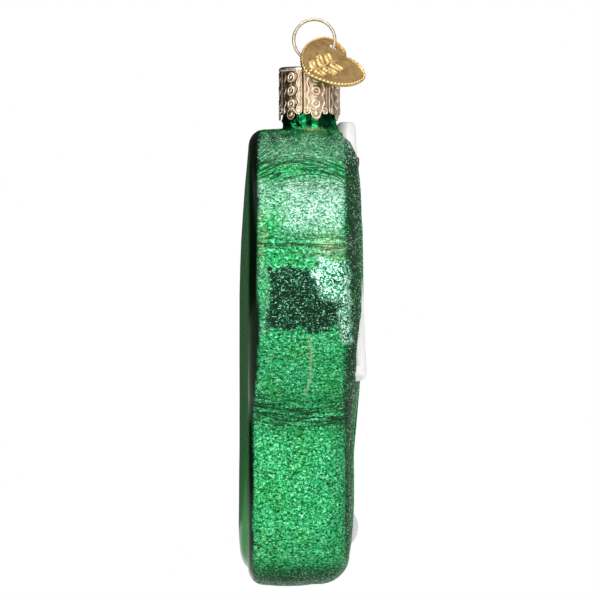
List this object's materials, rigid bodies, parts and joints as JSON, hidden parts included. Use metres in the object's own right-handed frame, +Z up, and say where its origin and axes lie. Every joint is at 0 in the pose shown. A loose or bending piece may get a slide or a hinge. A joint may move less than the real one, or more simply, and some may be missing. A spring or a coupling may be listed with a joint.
{
  "type": "glass hanging ornament",
  "caption": "Flat green glass golf green ornament with flagstick, cup and ball on its face, a stamped gold cap, a spring wire hanger ring and a heart tag.",
  "frame": {"origin": "inside of the hanging ring's top, where a hook or thread bears", "axes": "+Z up along the hanging line, -Y towards the front face with the flagstick, X across the face"},
  "size_m": [0.0656, 0.0247, 0.1117],
  "materials": {
    "hanger_wire": "pale gold plated spring wire, polished",
    "cap": "champagne gold stamped sheet, polished",
    "heart_tag": "warm gold stamped sheet, satin",
    "glass_body": "silvered glass under green lacquer, glittered on its wall and front",
    "flagstick": "white enamel, glossy",
    "flag": "red enamel, glossy",
    "cup": "white enamel, glossy",
    "golf_ball": "pearly white enamel, glossy"
  },
  "bodies": {
    "hanger": {"hanger_wire": "hanger_wire"},
    "cap": {"cap": "cap"},
    "tag": {"heart_tag": "heart_tag"},
    "green": {"glass_body": "glass_body", "flagstick": "flagstick", "flag": "flag", "cup": "cup", "golf_ball": "golf_ball"}
  },
  "joints": [
    {"name": "cap_lift", "type": "slide", "parent": "hanger", "child": "cap", "axis": [0, 0, 1], "range_m": [0, 0.0006]},
    {"name": "green_pull_off", "type": "slide", "parent": "hanger", "child": "green", "axis": [0, 0, -1], "range_m": [0, 0.02]},
    {"name": "tag_swing", "type": "hinge", "parent": "hanger", "child": "tag", "pos_m": [0, -0.00364, -0.00551], "axis": [0, -0.4384, 0.8988], "range_deg": [-20, 185]}
  ]
}
